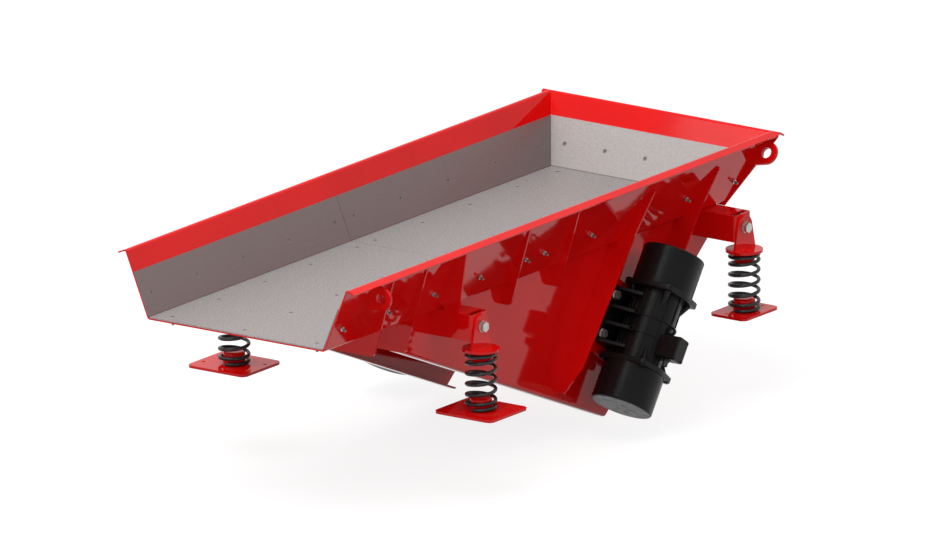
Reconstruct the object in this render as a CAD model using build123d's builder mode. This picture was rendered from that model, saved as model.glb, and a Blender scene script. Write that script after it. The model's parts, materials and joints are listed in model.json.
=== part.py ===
from build123d import *
import os
from math import atan2, cos, degrees, hypot, radians, sin, tan

os.makedirs("parts", exist_ok=True)

# Vibrating feeder: an open pan on four coil springs, shaken by two unbalance motors.
# Frame: +X is the discharge direction, +Y the left side seen along +X, +Z up.
# The origin is the centre of the four feet, in the plane of their undersides.

# Overall layout
FOOT_PITCH_X = 1716.0
FOOT_PITCH_Y = 1130.0
FRONT_OVERHANG = 792.0
FLOOR_HEIGHT = 388.0
X_FRONT = FOOT_PITCH_X / 2 + FRONT_OVERHANG

# Pan: a folded plate with flared sides and outward lips
PAN_LENGTH = 2622.0
PAN_WIDTH = 800.0
PAN_DEPTH = 252.0
SIDE_FLARE = 104.5
REAR_RUN = 147.5
LIP_WIDTH = 40.0
PAN_PLATE = 6.0
PAN_BEND = 12.0
FLOOR_BEND = 6.0
REAR_TAB_DROP = 21.0
REAR_TAB_FOOT = 403.0
X_REAR = X_FRONT - PAN_LENGTH
HALF_WIDTH = PAN_WIDTH / 2
SIDE_ANGLE = atan2(SIDE_FLARE, PAN_DEPTH)
REAR_ANGLE = atan2(REAR_RUN, PAN_DEPTH)
HALF_TOP = HALF_WIDTH + SIDE_FLARE
HALF_LIP = HALF_TOP + LIP_WIDTH * cos(SIDE_ANGLE)
LIP_DROP = LIP_WIDTH * sin(SIDE_ANGLE)
FLOOR_UNDER = FLOOR_HEIGHT - PAN_PLATE

# Wear liners
LINER_PLATE = 5.0
LINER_DEPTH = 168.0
LINER_JOINT = 1315.0
LINER_GAP = 2.0
LINER_FOOT = 4.5
SCREW_EDGE = 58.0
SCREW_HEIGHT = 82.0
SCREWS_PER_PLATE = 5
REAR_SCREW_START = 1377.0
REAR_SCREW_STEP = 309.0
REAR_SCREW_PITCH = 184.0
FLOOR_SCREW_PITCH = 330.0
SCREW_RADIUS = 5.0
SCREW_HEAD_RADIUS = 9.5
SCREW_HOLE_RADIUS = 5.5
NUT_FLATS = 17.0
NUT_HEIGHT = 9.0
SCREW_TAIL = 5.0

# Ribs round the pan
RIB_PLATE = 8.0
RIB_TOP_Y = 506.0
RIB_TOP_Z = 236.0
RIB_SLOPE = 0.291
RIB_FOOT_DEPTH = 95.0
RIB_CORNER = 22.0
FRONT_RIB_SETBACK = 318.0
WEDGE_RIB_SETBACK = 540.0
WEDGE_RIB_DEPTH = 132.0
SIDE_RIB_SETBACKS = (1210.0, 1530.0)
FLOOR_BEAM_DEPTH = 90.0

# Side plates of the wedge that carries the motors
WEDGE_FACE_Y = 370.0
WEDGE_PLATE = 8.0
WEDGE_FLANGE = 50.0
WEDGE_BEND = 14.0
WEDGE_TIP_SETBACK = 1885.0
WEDGE_TIP_DEPTH = 687.0
WEDGE_END_SETBACK = 2600.0
WEDGE_END_DEPTH = 108.0
WEDGE_TIP_RADIUS = 16.0
BACK_PLATE_INSET = 22.0
TUBE_RADIUS = 70.0
TUBE_WALL = 8.0
TUBE_SPACING = 230.0

# Support arms, spring seats, springs and feet
ARM_WIDTH = 105.0
ARM_HEIGHT = 102.0
ARM_WALL = 8.0
ARM_BEND = 12.0
ARM_SLOT = 25.0
SEAT_PLATE = 10.0
SEAT_RADIUS = 71.0
SEAT_CROWN = 46.0
SEAT_BOLT_DROP = 51.0
SEAT_DISC_Z = 238.0
SEAT_DISC = 10.0
SEAT_BOLT_RADIUS = 12.0
SEAT_BOLT_FLATS = 36.0
SPIGOT_RADIUS = 42.0
FOOT_SPIGOT_HEIGHT = 48.0
SEAT_SPIGOT_HEIGHT = 40.0
FOOT_PLATE = 10.0
FRONT_FOOT = (250.0, 265.0)
REAR_FOOT = (230.0, 165.0)
FRONT_FOOT_HOLES = (100.0, 210.0)
REAR_FOOT_HOLES = (178.0, 40.0)
FOOT_HOLE_RADIUS = 7.0
FOOT_CORNER = 25.0
SPRING_RADIUS = 55.0
SPRING_WIRE = 14.0
SPRING_END_PITCH = 22.0
SPRING_END_TURNS = 1.25
SPRING_TURNS = 6.5
SPRING_FACETS = 8
SPRING_GROUND = 1.5

# Gussets between the pan side and the front arms
GUSSET_TOP_Y = 534.0
GUSSET_FOOT_Y = 500.0
GUSSET_NOTCH = 25.0
GUSSET_INSET = 4.0

# Lifting lugs
LUG_RADIUS = 45.0
LUG_HOLE_RADIUS = 21.0
LUG_PLATE = 12.0
LUG_Y = 522.0
LUG_Z = 173.0
LUG_FRONT_SETBACK = 205.0
LUG_ROOT = (120.0, 226.0)

# Unbalance motors: their axis leans back, square to the line of throw
MOTOR_LEAN = 34.0
MOTOR_SETBACK = 1914.0
MOTOR_DEPTH = 329.0
MOTOR_Y = 541.0
MOTOR_SEAT_HEIGHT = 128.0
MOTOR_BODY_HALF = 155.0
BARREL_RADIUS = 93.0
BARREL_BORE = 80.0
COVER_RADIUS = 119.0
COVER_WALL = 4.0
COVER_LENGTH = 158.0
COVER_EDGE = 8.0
COVER_RIM = 6.0
COVER_SCREW_RADIUS = 5.0
COVER_SCREW_DEPTH = 11.0
COVER_SCREW_FLATS = 16.0
COVER_SCREW_HEAD = 5.0
MOTOR_FLANGE = 14.0
MOTOR_FLANGE_RADIUS = 122.0
EAR_CIRCLE = 130.0
EAR_RADIUS = 14.0
EAR_BOSS_LENGTH = 60.0
EAR_BOSS_TIP = 5.0
BARREL_RIB = 4.0
BARREL_RIB_WIDTH = 5.0
BARREL_RIBS = 12
BARREL_RING = 5.0
EYE_A = 12.0
EYE_HEIGHT = 106.0
EYE_RADIUS = 16.0
EYE_HOLE = 8.0
MOTOR_FOOT_T = 155.0
MOTOR_FOOT_A = 112.0
MOTOR_FOOT_PLATE = 23.0
WEB_PLATE = 12.0
WEB_PLACES = (-106.0, -33.0, 33.0, 106.0)
WEB_TIP_T = 110.0
SIDE_BOSS_T = 119.0
SIDE_BOSS_HEIGHT = 5.0
SIDE_BOSS_A = 33.0
SIDE_BOSS_RADIUS = 11.0
SIDE_BOSS_HOLE = 5.0
MOTOR_BOLT_T = 255.0
MOTOR_BOLT_A = 157.0
MOTOR_BOLT_RADIUS = 10.0
MOTOR_BOLT_FLATS = 30.0
MOTOR_BOLT_HEAD = 14.0
MOTOR_WASHER = 3.0
MOTOR_WASHER_RADIUS = 19.0
MOTOR_NUT = 16.0
MOTOR_PLATE = 20.0
MOTOR_PLATE_HALF = 148.0
MOTOR_RIB_T = 176.0
MOTOR_RIB = 8.0
BOX_A = (-101.0, -9.0)
BOX_HALF_T = 33.0
BOX_TOP = 175.0
BOX_LID = 34.0
BOX_WALL = 5.0
GLAND_RADIUS = 12.0
GLAND_BORE = 7.0
GLAND_LENGTH = 26.0
GLAND_HEIGHT = 125.0
STATOR_BORE = 50.0
STATOR_HALF = 75.0
SHIELD_HALF = 118.0
SHIELD_BORE = 30.0
CORE_RADIUS = 48.0
CORE_HALF = 70.0
SHAFT_RADIUS = 25.0
SHAFT_HALF = 262.0
BEARING_RADIUS = 55.0
BEARING_WIDTH = 24.0
WEIGHT_RADIUS = 96.0
WEIGHT_HUB = 42.0
WEIGHT_PLATE = 38.0
WEIGHT_PLACES = (172.0, 218.0)
RUNNING_FIT = 0.05
SEATED_FIT = 0.1


def setback(distance):
    """X of a place measured back from the pan's front edge."""
    return X_FRONT - distance


def finish(block, name):
    """Names the piece made in a block and writes it."""
    block.part.label = name
    export_step(block.part, f"parts/{name}.step")


def side_y(height):
    """Y of the pan side's inner face at a height above the floor."""
    return HALF_WIDTH + SIDE_FLARE * height / PAN_DEPTH


SIDE_NAMES = {1: "left", -1: "right"}
rear_face = Plane(
    origin=(X_REAR, 0, FLOOR_HEIGHT),
    x_dir=(0, -1, 0),
    z_dir=(-cos(REAR_ANGLE), 0, -sin(REAR_ANGLE)),
)
REAR_WALL_LENGTH = hypot(REAR_RUN, PAN_DEPTH)
SIDE_WALL_LENGTH = hypot(SIDE_FLARE, PAN_DEPTH)

# Places of the liner screws, each a plane on the liner face with its normal into the pan
front_step = (LINER_JOINT - 2 * SCREW_EDGE) / (SCREWS_PER_PLATE - 1)
front_row = [SCREW_EDGE + i * front_step for i in range(SCREWS_PER_PLATE)]
rear_row = [REAR_SCREW_START + i * REAR_SCREW_STEP for i in range(SCREWS_PER_PLATE)]
screw_seats = []
for side in (1, -1):
    normal = (0, -side * cos(SIDE_ANGLE), sin(SIDE_ANGLE))
    for distance in front_row + rear_row:
        foot = Vector(setback(distance), side * side_y(SCREW_HEIGHT), FLOOR_HEIGHT + SCREW_HEIGHT)
        screw_seats.append(Plane(origin=foot + Vector(normal) * LINER_PLATE, x_dir=(1, 0, 0), z_dir=normal))
for i in range(-2, 3):
    normal = (cos(REAR_ANGLE), 0, sin(REAR_ANGLE))
    rise = SCREW_HEIGHT / PAN_DEPTH
    foot = Vector(X_REAR - REAR_RUN * rise, i * REAR_SCREW_PITCH, FLOOR_HEIGHT + SCREW_HEIGHT)
    screw_seats.append(Plane(origin=foot + Vector(normal) * LINER_PLATE, x_dir=(0, 1, 0), z_dir=normal))
for distance in front_row + rear_row[:-1] + [PAN_LENGTH - SCREW_EDGE]:
    for i in (-1, 0, 1):
        foot = Vector(setback(distance), i * FLOOR_SCREW_PITCH, FLOOR_HEIGHT + LINER_PLATE)
        screw_seats.append(Plane(origin=foot, x_dir=(1, 0, 0), z_dir=(0, 0, 1)))

# One clearance drill for every liner screw
with BuildPart() as screw_drill:
    with BuildSketch(Plane.XY.offset(-3 * PAN_PLATE)):
        Circle(SCREW_HOLE_RADIUS)
    extrude(amount=4 * PAN_PLATE)
    with BuildSketch(Plane.XZ):
        sink = SCREW_HEAD_RADIUS - SCREW_HOLE_RADIUS
        Polygon((0, 0), (SCREW_HEAD_RADIUS, 0), (SCREW_HOLE_RADIUS, -sink), (0, -sink), align=None)
    revolve(axis=Axis.Z)
drills = [screw_drill.part.moved(seat.location) for seat in screw_seats]
side_drills = drills[: 4 * SCREWS_PER_PLATE]
rear_drills = drills[4 * SCREWS_PER_PLATE : 4 * SCREWS_PER_PLATE + 5]
floor_drills = drills[4 * SCREWS_PER_PLATE + 5 :]

# Pan: floor, flared sides and lips folded from one plate
lip_tip = (HALF_LIP, FLOOR_HEIGHT + PAN_DEPTH - LIP_DROP)
lip_bend = (HALF_TOP, FLOOR_HEIGHT + PAN_DEPTH)
floor_bend = (HALF_WIDTH, FLOOR_HEIGHT)
section_points = [lip_tip, lip_bend, floor_bend]
section_points += [(-y, z) for y, z in reversed(section_points)]
with BuildPart() as pan_shell:
    with BuildSketch(Plane.YZ.offset(X_REAR - REAR_RUN - LIP_WIDTH)):
        with BuildLine():
            FilletPolyline(*section_points, radius=(PAN_BEND, FLOOR_BEND, FLOOR_BEND, PAN_BEND))
            offset(amount=PAN_PLATE, side=Side.LEFT)
        make_face()
    extrude(amount=PAN_LENGTH + REAR_RUN + LIP_WIDTH)
    split(bisect_by=rear_face, keep=Keep.BOTTOM)
    for drill in side_drills + floor_drills:
        add(drill, mode=Mode.SUBTRACT)
finish(pan_shell, "pan_shell")

# Everything inside the pan's outer face, used to fit the ribs to it
with BuildPart() as pan_envelope:
    with BuildSketch(Plane.YZ.offset(X_REAR - REAR_RUN - LIP_WIDTH)):
        reach = PAN_DEPTH + LIP_WIDTH
        Polygon(
            (-side_y(reach), FLOOR_HEIGHT + reach),
            (-HALF_WIDTH, FLOOR_HEIGHT),
            (HALF_WIDTH, FLOOR_HEIGHT),
            (side_y(reach), FLOOR_HEIGHT + reach),
            align=None,
        )
        offset(amount=PAN_PLATE, kind=Kind.INTERSECTION)
        low = vertices().group_by(Axis.Y)[0]
        fillet(low, radius=FLOOR_BEND + PAN_PLATE)
    extrude(amount=PAN_LENGTH + REAR_RUN + LIP_WIDTH)

# Rear wall: leans back, its edges stand out past the sides as tabs
with BuildPart() as rear_wall:
    with BuildSketch(Plane.XZ.offset(-HALF_LIP)):
        with BuildLine():
            drop = REAR_TAB_DROP / PAN_DEPTH
            FilletPolyline(
                (X_REAR + REAR_RUN * drop, FLOOR_HEIGHT - REAR_TAB_DROP),
                (X_REAR - REAR_RUN, FLOOR_HEIGHT + PAN_DEPTH),
                (
                    X_REAR - REAR_RUN - LIP_WIDTH * cos(REAR_ANGLE),
                    FLOOR_HEIGHT + PAN_DEPTH - LIP_WIDTH * sin(REAR_ANGLE),
                ),
                radius=PAN_BEND,
            )
            offset(amount=PAN_PLATE, side=Side.LEFT)
        make_face()
    extrude(amount=2 * HALF_LIP)
    with BuildSketch(rear_face):
        for side in (1, -1):
            Polygon(
                (side * REAR_TAB_FOOT, -2 * REAR_TAB_DROP),
                (side * REAR_TAB_FOOT, -REAR_TAB_DROP),
                (side * HALF_LIP, REAR_WALL_LENGTH - 2 * PAN_BEND),
                (side * 2 * HALF_LIP, REAR_WALL_LENGTH - 2 * PAN_BEND),
                (side * 2 * HALF_LIP, -2 * REAR_TAB_DROP),
                align=None,
            )
    extrude(amount=3 * PAN_PLATE, both=True, mode=Mode.SUBTRACT)
    for drill in rear_drills:
        add(drill, mode=Mode.SUBTRACT)
    with BuildSketch(rear_face):
        with Locations(*[(side * LUG_Y, LUG_Z / cos(REAR_ANGLE)) for side in (1, -1)]):
            Circle(LUG_HOLE_RADIUS)
    extrude(amount=2 * PAN_PLATE, mode=Mode.SUBTRACT)
finish(rear_wall, "rear_wall")

# Floor liners, in two lengths
floor_width = PAN_WIDTH - 2 * FLOOR_BEND * tan((radians(90) - SIDE_ANGLE) / 2)
liner_ends = {
    "front": (setback(LINER_JOINT) + LINER_GAP / 2, X_FRONT),
    "rear": (X_REAR, setback(LINER_JOINT) - LINER_GAP / 2),
}
for place, (x_low, x_high) in liner_ends.items():
    with BuildPart() as floor_liner:
        with BuildSketch(Plane.XY.offset(FLOOR_HEIGHT)):
            with Locations(((x_low + x_high) / 2, 0)):
                Rectangle(x_high - x_low, floor_width)
        extrude(amount=LINER_PLATE)
        for drill in floor_drills:
            add(drill, mode=Mode.SUBTRACT)
    finish(floor_liner, f"floor_liner_{place}")

# Side liners: two plates along each side, the rear one cut to the leaning rear liner
for side, side_name in SIDE_NAMES.items():
    side_face = Plane(
        origin=(0, side * HALF_WIDTH, FLOOR_HEIGHT),
        x_dir=(side, 0, 0),
        z_dir=(0, -side * cos(SIDE_ANGLE), sin(SIDE_ANGLE)),
    )
    liner_top = LINER_DEPTH / cos(SIDE_ANGLE)
    for place, (x_low, x_high) in liner_ends.items():
        x_start = x_low - (REAR_RUN if place == "rear" else 0)
        with BuildPart() as side_liner:
            with BuildSketch(side_face):
                with Locations((side * (x_start + x_high) / 2, (LINER_FOOT + liner_top) / 2)):
                    Rectangle(x_high - x_start, liner_top - LINER_FOOT)
            extrude(amount=LINER_PLATE)
            split(bisect_by=rear_face.offset(-LINER_PLATE), keep=Keep.BOTTOM)
            for drill in side_drills:
                add(drill, mode=Mode.SUBTRACT)
        finish(side_liner, f"side_liner_{place}_{side_name}")

# Rear liner: a trapezium that fits between the side walls
with BuildPart() as rear_liner:
    with BuildSketch(rear_face):
        top_height = LINER_DEPTH / cos(REAR_ANGLE)
        foot_half = side_y(LINER_FOOT * cos(REAR_ANGLE)) - LINER_GAP
        top_half = side_y(LINER_DEPTH) - LINER_GAP
        Polygon(
            (-foot_half, LINER_FOOT),
            (foot_half, LINER_FOOT),
            (top_half, top_height),
            (-top_half, top_height),
            align=None,
        )
    extrude(amount=-LINER_PLATE)
    for drill in rear_drills:
        add(drill, mode=Mode.SUBTRACT)
finish(rear_liner, "rear_liner")

# Countersunk screws and their nuts, through liner and pan plate
grip = LINER_PLATE + PAN_PLATE
with BuildPart() as liner_screw:
    with BuildSketch(Plane.XZ):
        sink = SCREW_HEAD_RADIUS - SCREW_RADIUS
        Polygon(
            (0, -0.5),
            (SCREW_HEAD_RADIUS - 0.5, -0.5),
            (SCREW_RADIUS, -sink),
            (SCREW_RADIUS, -grip - NUT_HEIGHT - SCREW_TAIL),
            (0, -grip - NUT_HEIGHT - SCREW_TAIL),
            align=None,
        )
    revolve(axis=Axis.Z)
with BuildPart() as liner_screws:
    for seat in screw_seats:
        add(liner_screw.part.moved(seat.location))
finish(liner_screws, "liner_screws")

with BuildPart() as liner_nut:
    with BuildSketch(Plane.XY.offset(-grip)):
        RegularPolygon(radius=NUT_FLATS / 2, side_count=6, major_radius=False)
        Circle(SCREW_RADIUS + SEATED_FIT, mode=Mode.SUBTRACT)
    extrude(amount=-NUT_HEIGHT)
with BuildPart() as liner_nuts:
    for seat in screw_seats:
        add(liner_nut.part.moved(seat.location))
finish(liner_nuts, "liner_nuts")


def rib_edge(z):
    """Y of the side ribs' outer edge at a height above the floor."""
    return RIB_TOP_Y - RIB_SLOPE * (RIB_TOP_Z - z)


# Cradle ribs: one plate each, up both sides of the pan and under its floor
for name, distance, depth in (
    ("front_cradle_rib", FRONT_RIB_SETBACK, RIB_FOOT_DEPTH),
    ("wedge_cradle_rib", WEDGE_RIB_SETBACK, WEDGE_RIB_DEPTH),
):
    with BuildPart() as cradle_rib:
        with BuildSketch(Plane.YZ.offset(setback(distance) - RIB_PLATE / 2)):
            Polygon(
                (-RIB_TOP_Y, FLOOR_HEIGHT + RIB_TOP_Z),
                (-rib_edge(-depth), FLOOR_HEIGHT - depth),
                (rib_edge(-depth), FLOOR_HEIGHT - depth),
                (RIB_TOP_Y, FLOOR_HEIGHT + RIB_TOP_Z),
                align=None,
            )
            low = vertices().group_by(Axis.Y)[0]
            fillet(low, radius=RIB_CORNER)
        extrude(amount=RIB_PLATE)
        add(pan_envelope.part, mode=Mode.SUBTRACT)
        for drill in floor_drills:
            add(drill, mode=Mode.SUBTRACT)
    finish(cradle_rib, name)

# Side ribs: from under the lip down past the floor onto the wedge side plate
for side, side_name in SIDE_NAMES.items():
    with BuildPart() as side_ribs:
        for distance in SIDE_RIB_SETBACKS:
            with BuildSketch(Plane.YZ.offset(setback(distance) - RIB_PLATE / 2)):
                Polygon(
                    (side * WEDGE_FACE_Y, FLOOR_HEIGHT + RIB_TOP_Z),
                    (side * WEDGE_FACE_Y, FLOOR_HEIGHT - RIB_FOOT_DEPTH),
                    (side * rib_edge(-RIB_FOOT_DEPTH), FLOOR_HEIGHT - RIB_FOOT_DEPTH),
                    (side * RIB_TOP_Y, FLOOR_HEIGHT + RIB_TOP_Z),
                    align=None,
                )
                outer_foot = vertices().group_by(Axis.Y)[0].sort_by(Axis.X)[-1 if side > 0 else 0]
                fillet(outer_foot, radius=RIB_CORNER)
            extrude(amount=RIB_PLATE)
        add(pan_envelope.part, mode=Mode.SUBTRACT)
    finish(side_ribs, f"side_ribs_{side_name}")

# Wedge side plates, each with its lower edge folded inward
wedge_top_front = (setback(WEDGE_RIB_SETBACK) - RIB_PLATE / 2, FLOOR_UNDER)
wedge_foot_front = (wedge_top_front[0], FLOOR_HEIGHT - WEDGE_RIB_DEPTH - RIB_PLATE / 2)
wedge_tip = (setback(WEDGE_TIP_SETBACK), FLOOR_HEIGHT - WEDGE_TIP_DEPTH)
wedge_end = (setback(WEDGE_END_SETBACK), FLOOR_HEIGHT - WEDGE_END_DEPTH)
wedge_top_rear = (wedge_end[0], FLOOR_UNDER)
wedge_outline = [wedge_top_front, wedge_foot_front, wedge_tip, wedge_end, wedge_top_rear]
lower_angle = atan2(wedge_foot_front[1] - wedge_tip[1], wedge_foot_front[0] - wedge_tip[0])
back_angle = atan2(wedge_end[1] - wedge_tip[1], wedge_tip[0] - wedge_end[0])
for side, side_name in SIDE_NAMES.items():
    with BuildPart() as wedge_side:
        with BuildSketch(Plane.XZ.offset(-side * WEDGE_FACE_Y)):
            Polygon(*wedge_outline, align=None)
            fillet(vertices().sort_by_distance(wedge_tip)[0], radius=WEDGE_TIP_RADIUS)
        extrude(amount=side * WEDGE_FLANGE)
        lower_edge = edges().filter_by(lambda e: abs(e.center().Y - side * WEDGE_FACE_Y) < 0.1)
        lower_edge = lower_edge.filter_by(GeomType.LINE).sort_by(Axis.Z)[0]
        fillet(lower_edge, radius=WEDGE_BEND)
        with BuildSketch(Plane.XZ.offset(-side * (WEDGE_FACE_Y - WEDGE_PLATE))):
            rise = WEDGE_PLATE / cos(lower_angle)
            run = PAN_LENGTH / 2
            Polygon(
                (wedge_top_front[0] + run, wedge_top_front[1] + run),
                (wedge_foot_front[0] + run, wedge_foot_front[1] + rise + run * tan(lower_angle)),
                (wedge_tip[0] - run, wedge_tip[1] + rise - run * tan(lower_angle)),
                (wedge_top_rear[0] - run, wedge_top_rear[1] + run),
                align=None,
            )
        extrude(amount=side * WEDGE_FLANGE, mode=Mode.SUBTRACT)
    finish(wedge_side, f"wedge_side_{side_name}")

# Plate that closes the back of the wedge, set a little inside its sloping edge
inner_half = WEDGE_FACE_Y - WEDGE_PLATE
back_length = hypot(wedge_end[0] - wedge_tip[0], wedge_end[1] - wedge_tip[1])
back_face = Plane(
    origin=(wedge_tip[0], 0, wedge_tip[1]),
    x_dir=(0, 1, 0),
    z_dir=(sin(back_angle), 0, cos(back_angle)),
)
with BuildPart() as wedge_back:
    with BuildSketch(back_face.offset(BACK_PLATE_INSET)):
        with Locations((0, back_length / 2)):
            Rectangle(2 * inner_half, back_length - 3 * WEDGE_FLANGE)
    extrude(amount=WEDGE_PLATE)
finish(wedge_back, "wedge_back_plate")

# Floor beams between the wedge side plates, in line with the side ribs, and one at the rear
with BuildPart() as floor_beams:
    for distance in SIDE_RIB_SETBACKS + (WEDGE_END_SETBACK - RIB_PLATE,):
        with BuildSketch(Plane.YZ.offset(setback(distance) - RIB_PLATE / 2)):
            with Locations((0, FLOOR_UNDER - FLOOR_BEAM_DEPTH / 2)):
                Rectangle(2 * inner_half, FLOOR_BEAM_DEPTH)
        extrude(amount=RIB_PLATE)
finish(floor_beams, "floor_beams")

# Motor frames: x along the throw, y out of the machine, z up along the motor axis
lean = radians(MOTOR_LEAN)
throw = Vector(cos(lean), 0, sin(lean))
motor_axis = Vector(-sin(lean), 0, cos(lean))
motor_frames = {}
for side in (1, -1):
    centre = (setback(MOTOR_SETBACK), side * MOTOR_Y, FLOOR_HEIGHT - MOTOR_DEPTH)
    motor_frames[side] = Plane(origin=centre, x_dir=throw * side, z_dir=motor_axis)

# Cross tubes between the wedge side plates, behind the motor seats
with BuildPart() as cross_tubes:
    for offset_a in (-TUBE_SPACING / 2, TUBE_SPACING / 2):
        centre = Vector(setback(MOTOR_SETBACK), 0, FLOOR_HEIGHT - MOTOR_DEPTH) + motor_axis * offset_a
        with BuildSketch(Plane(origin=(centre.X, inner_half, centre.Z), x_dir=(1, 0, 0), z_dir=(0, -1, 0))):
            Circle(TUBE_RADIUS)
            Circle(TUBE_RADIUS - TUBE_WALL, mode=Mode.SUBTRACT)
        extrude(amount=2 * inner_half)
finish(cross_tubes, "cross_tubes")

# Motor ribs: a pair of leaning plates beside each motor, from the wedge foot to the pan side
MOTOR_RIB_EDGE = ((487.0, 172.0), (466.0, 29.0), (452.0, -230.0))
MOTOR_RIB_FEET = {1: ((441.0, -427.0), (399.0, -522.0)), -1: ((441.0, -553.0), (399.0, -646.0))}
for side, side_name in SIDE_NAMES.items():
    with BuildPart() as motor_ribs:
        for place in (1, -1):
            base_height = place * MOTOR_RIB_T * sin(lean) - MOTOR_DEPTH
            edge = [
                (y - MOTOR_Y, side * (height - base_height) / cos(lean))
                for y, height in MOTOR_RIB_EDGE + MOTOR_RIB_FEET[place]
            ]
            seat_y = WEDGE_FACE_Y - MOTOR_Y
            rib_plane = Plane(
                origin=motor_frames[side].origin + throw * (place * MOTOR_RIB_T - MOTOR_RIB / 2),
                x_dir=(0, side, 0),
                z_dir=throw,
            )
            with BuildSketch(rib_plane):
                Polygon(*edge, (seat_y, edge[-1][1]), (seat_y, edge[0][1]), align=None)
            extrude(amount=MOTOR_RIB)
        add(pan_envelope.part, mode=Mode.SUBTRACT)
    finish(motor_ribs, f"motor_ribs_{side_name}")

# Motor seats: thick plates between the ribs, drilled for the motor's feet
with BuildPart() as motor_seats:
    for side in (1, -1):
        seat_frame = motor_frames[side]
        seat_plane = Plane(
            origin=seat_frame.origin - seat_frame.y_dir * MOTOR_SEAT_HEIGHT,
            x_dir=seat_frame.x_dir,
            z_dir=seat_frame.y_dir,
        )
        with BuildSketch(seat_plane):
            Rectangle(2 * MOTOR_RIB_T - MOTOR_RIB, 2 * MOTOR_PLATE_HALF)
            with GridLocations(MOTOR_BOLT_T, MOTOR_BOLT_A, 2, 2):
                Circle(MOTOR_BOLT_RADIUS + 1, mode=Mode.SUBTRACT)
        extrude(amount=-MOTOR_PLATE)
finish(motor_seats, "motor_seats")


def lip_under(y):
    """Z of the lip's underside at a distance from the middle of the pan."""
    return FLOOR_HEIGHT + PAN_DEPTH - (y - HALF_TOP) * tan(SIDE_ANGLE) - PAN_PLATE / cos(SIDE_ANGLE)


# Support arms: closed boxes from the wedge sides out to the springs, slotted for the nut
CORNER_NAMES = {
    (1, 1): "front_left",
    (1, -1): "front_right",
    (-1, 1): "rear_left",
    (-1, -1): "rear_right",
}
spring_x = FOOT_PITCH_X / 2
spring_y = FOOT_PITCH_Y / 2
arm_end = spring_y - SEAT_PLATE / 2
arm_low = FLOOR_UNDER - ARM_HEIGHT
bolt_z = FLOOR_UNDER - SEAT_BOLT_DROP
bolt_hole_radius = SEAT_BOLT_RADIUS + 0.5
for (end, side), corner in CORNER_NAMES.items():
    with BuildPart() as support_arm:
        with BuildSketch(Plane.XY.offset(arm_low)):
            with Locations((end * spring_x, side * (WEDGE_FACE_Y + arm_end) / 2)):
                Rectangle(ARM_WIDTH, arm_end - WEDGE_FACE_Y)
            fillet(vertices().sort_by(Axis.Y)[-2:] if side > 0 else vertices().sort_by(Axis.Y)[:2], radius=ARM_BEND)
        extrude(amount=ARM_HEIGHT)
        inner_end = arm_end - ARM_WALL
        with BuildSketch(Plane.XY.offset(arm_low + ARM_WALL)):
            with Locations((end * spring_x, side * (WEDGE_FACE_Y + inner_end) / 2)):
                Rectangle(ARM_WIDTH - 2 * ARM_WALL, inner_end - WEDGE_FACE_Y)
        extrude(amount=ARM_HEIGHT - 2 * ARM_WALL, mode=Mode.SUBTRACT)
        with BuildSketch(Plane.XY.offset(FLOOR_UNDER)):
            with Locations((end * spring_x, side * (inner_end - ARM_SLOT / 2))):
                Rectangle(ARM_WIDTH - 2 * ARM_WALL, ARM_SLOT)
        extrude(amount=-2 * ARM_WALL, mode=Mode.SUBTRACT)
        with BuildSketch(Plane(origin=(end * spring_x, side * inner_end, bolt_z), z_dir=(0, side, 0))):
            Circle(bolt_hole_radius)
        extrude(amount=ARM_WALL, both=True, mode=Mode.SUBTRACT)
    finish(support_arm, f"support_arm_{corner}")

# Gussets that stand on the front arms and brace the pan sides
with BuildPart() as arm_gussets:
    for side in (1, -1):
        with BuildSketch(Plane.YZ.offset(spring_x + ARM_WIDTH / 2 - RIB_PLATE)):
            Polygon(
                (side * GUSSET_TOP_Y, lip_under(GUSSET_TOP_Y)),
                (side * GUSSET_FOOT_Y, FLOOR_UNDER),
                (side * HALF_WIDTH, FLOOR_UNDER),
                (side * side_y(PAN_DEPTH - PAN_PLATE), lip_under(side_y(PAN_DEPTH - PAN_PLATE))),
                align=None,
            )
            with Locations((side * (HALF_WIDTH + PAN_BEND), FLOOR_UNDER)):
                Circle(GUSSET_NOTCH, mode=Mode.SUBTRACT)
        extrude(amount=RIB_PLATE)
    add(pan_shell.part, mode=Mode.SUBTRACT)
    add(pan_envelope.part, mode=Mode.SUBTRACT)
finish(arm_gussets, "arm_gussets")

# Spring seats: a link plate bolted to the arm end, on a disc with a spigot
for (end, side), corner in CORNER_NAMES.items():
    with BuildPart() as spring_seat:
        link_face = Plane(origin=(end * spring_x, side * arm_end, 0), x_dir=(side, 0, 0), z_dir=(0, -side, 0))
        with BuildSketch(link_face):
            with Locations((0, bolt_z)):
                Circle(SEAT_CROWN)
            with Locations((0, SEAT_DISC_Z + SEAT_DISC / 2)):
                Rectangle(2 * SEAT_RADIUS - SEAT_DISC, SEAT_DISC)
            make_hull()
            with Locations((0, bolt_z)):
                Circle(bolt_hole_radius, mode=Mode.SUBTRACT)
        extrude(amount=-SEAT_PLATE)
        with BuildSketch(Plane.XY.offset(SEAT_DISC_Z)):
            with Locations((end * spring_x, side * spring_y)):
                Circle(SEAT_RADIUS)
        extrude(amount=SEAT_DISC)
        with BuildSketch(Plane.XY.offset(SEAT_DISC_Z)):
            with Locations((end * spring_x, side * spring_y)):
                Circle(SPIGOT_RADIUS)
        extrude(amount=-SEAT_SPIGOT_HEIGHT, taper=4)
    finish(spring_seat, f"spring_seat_{corner}")

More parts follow.
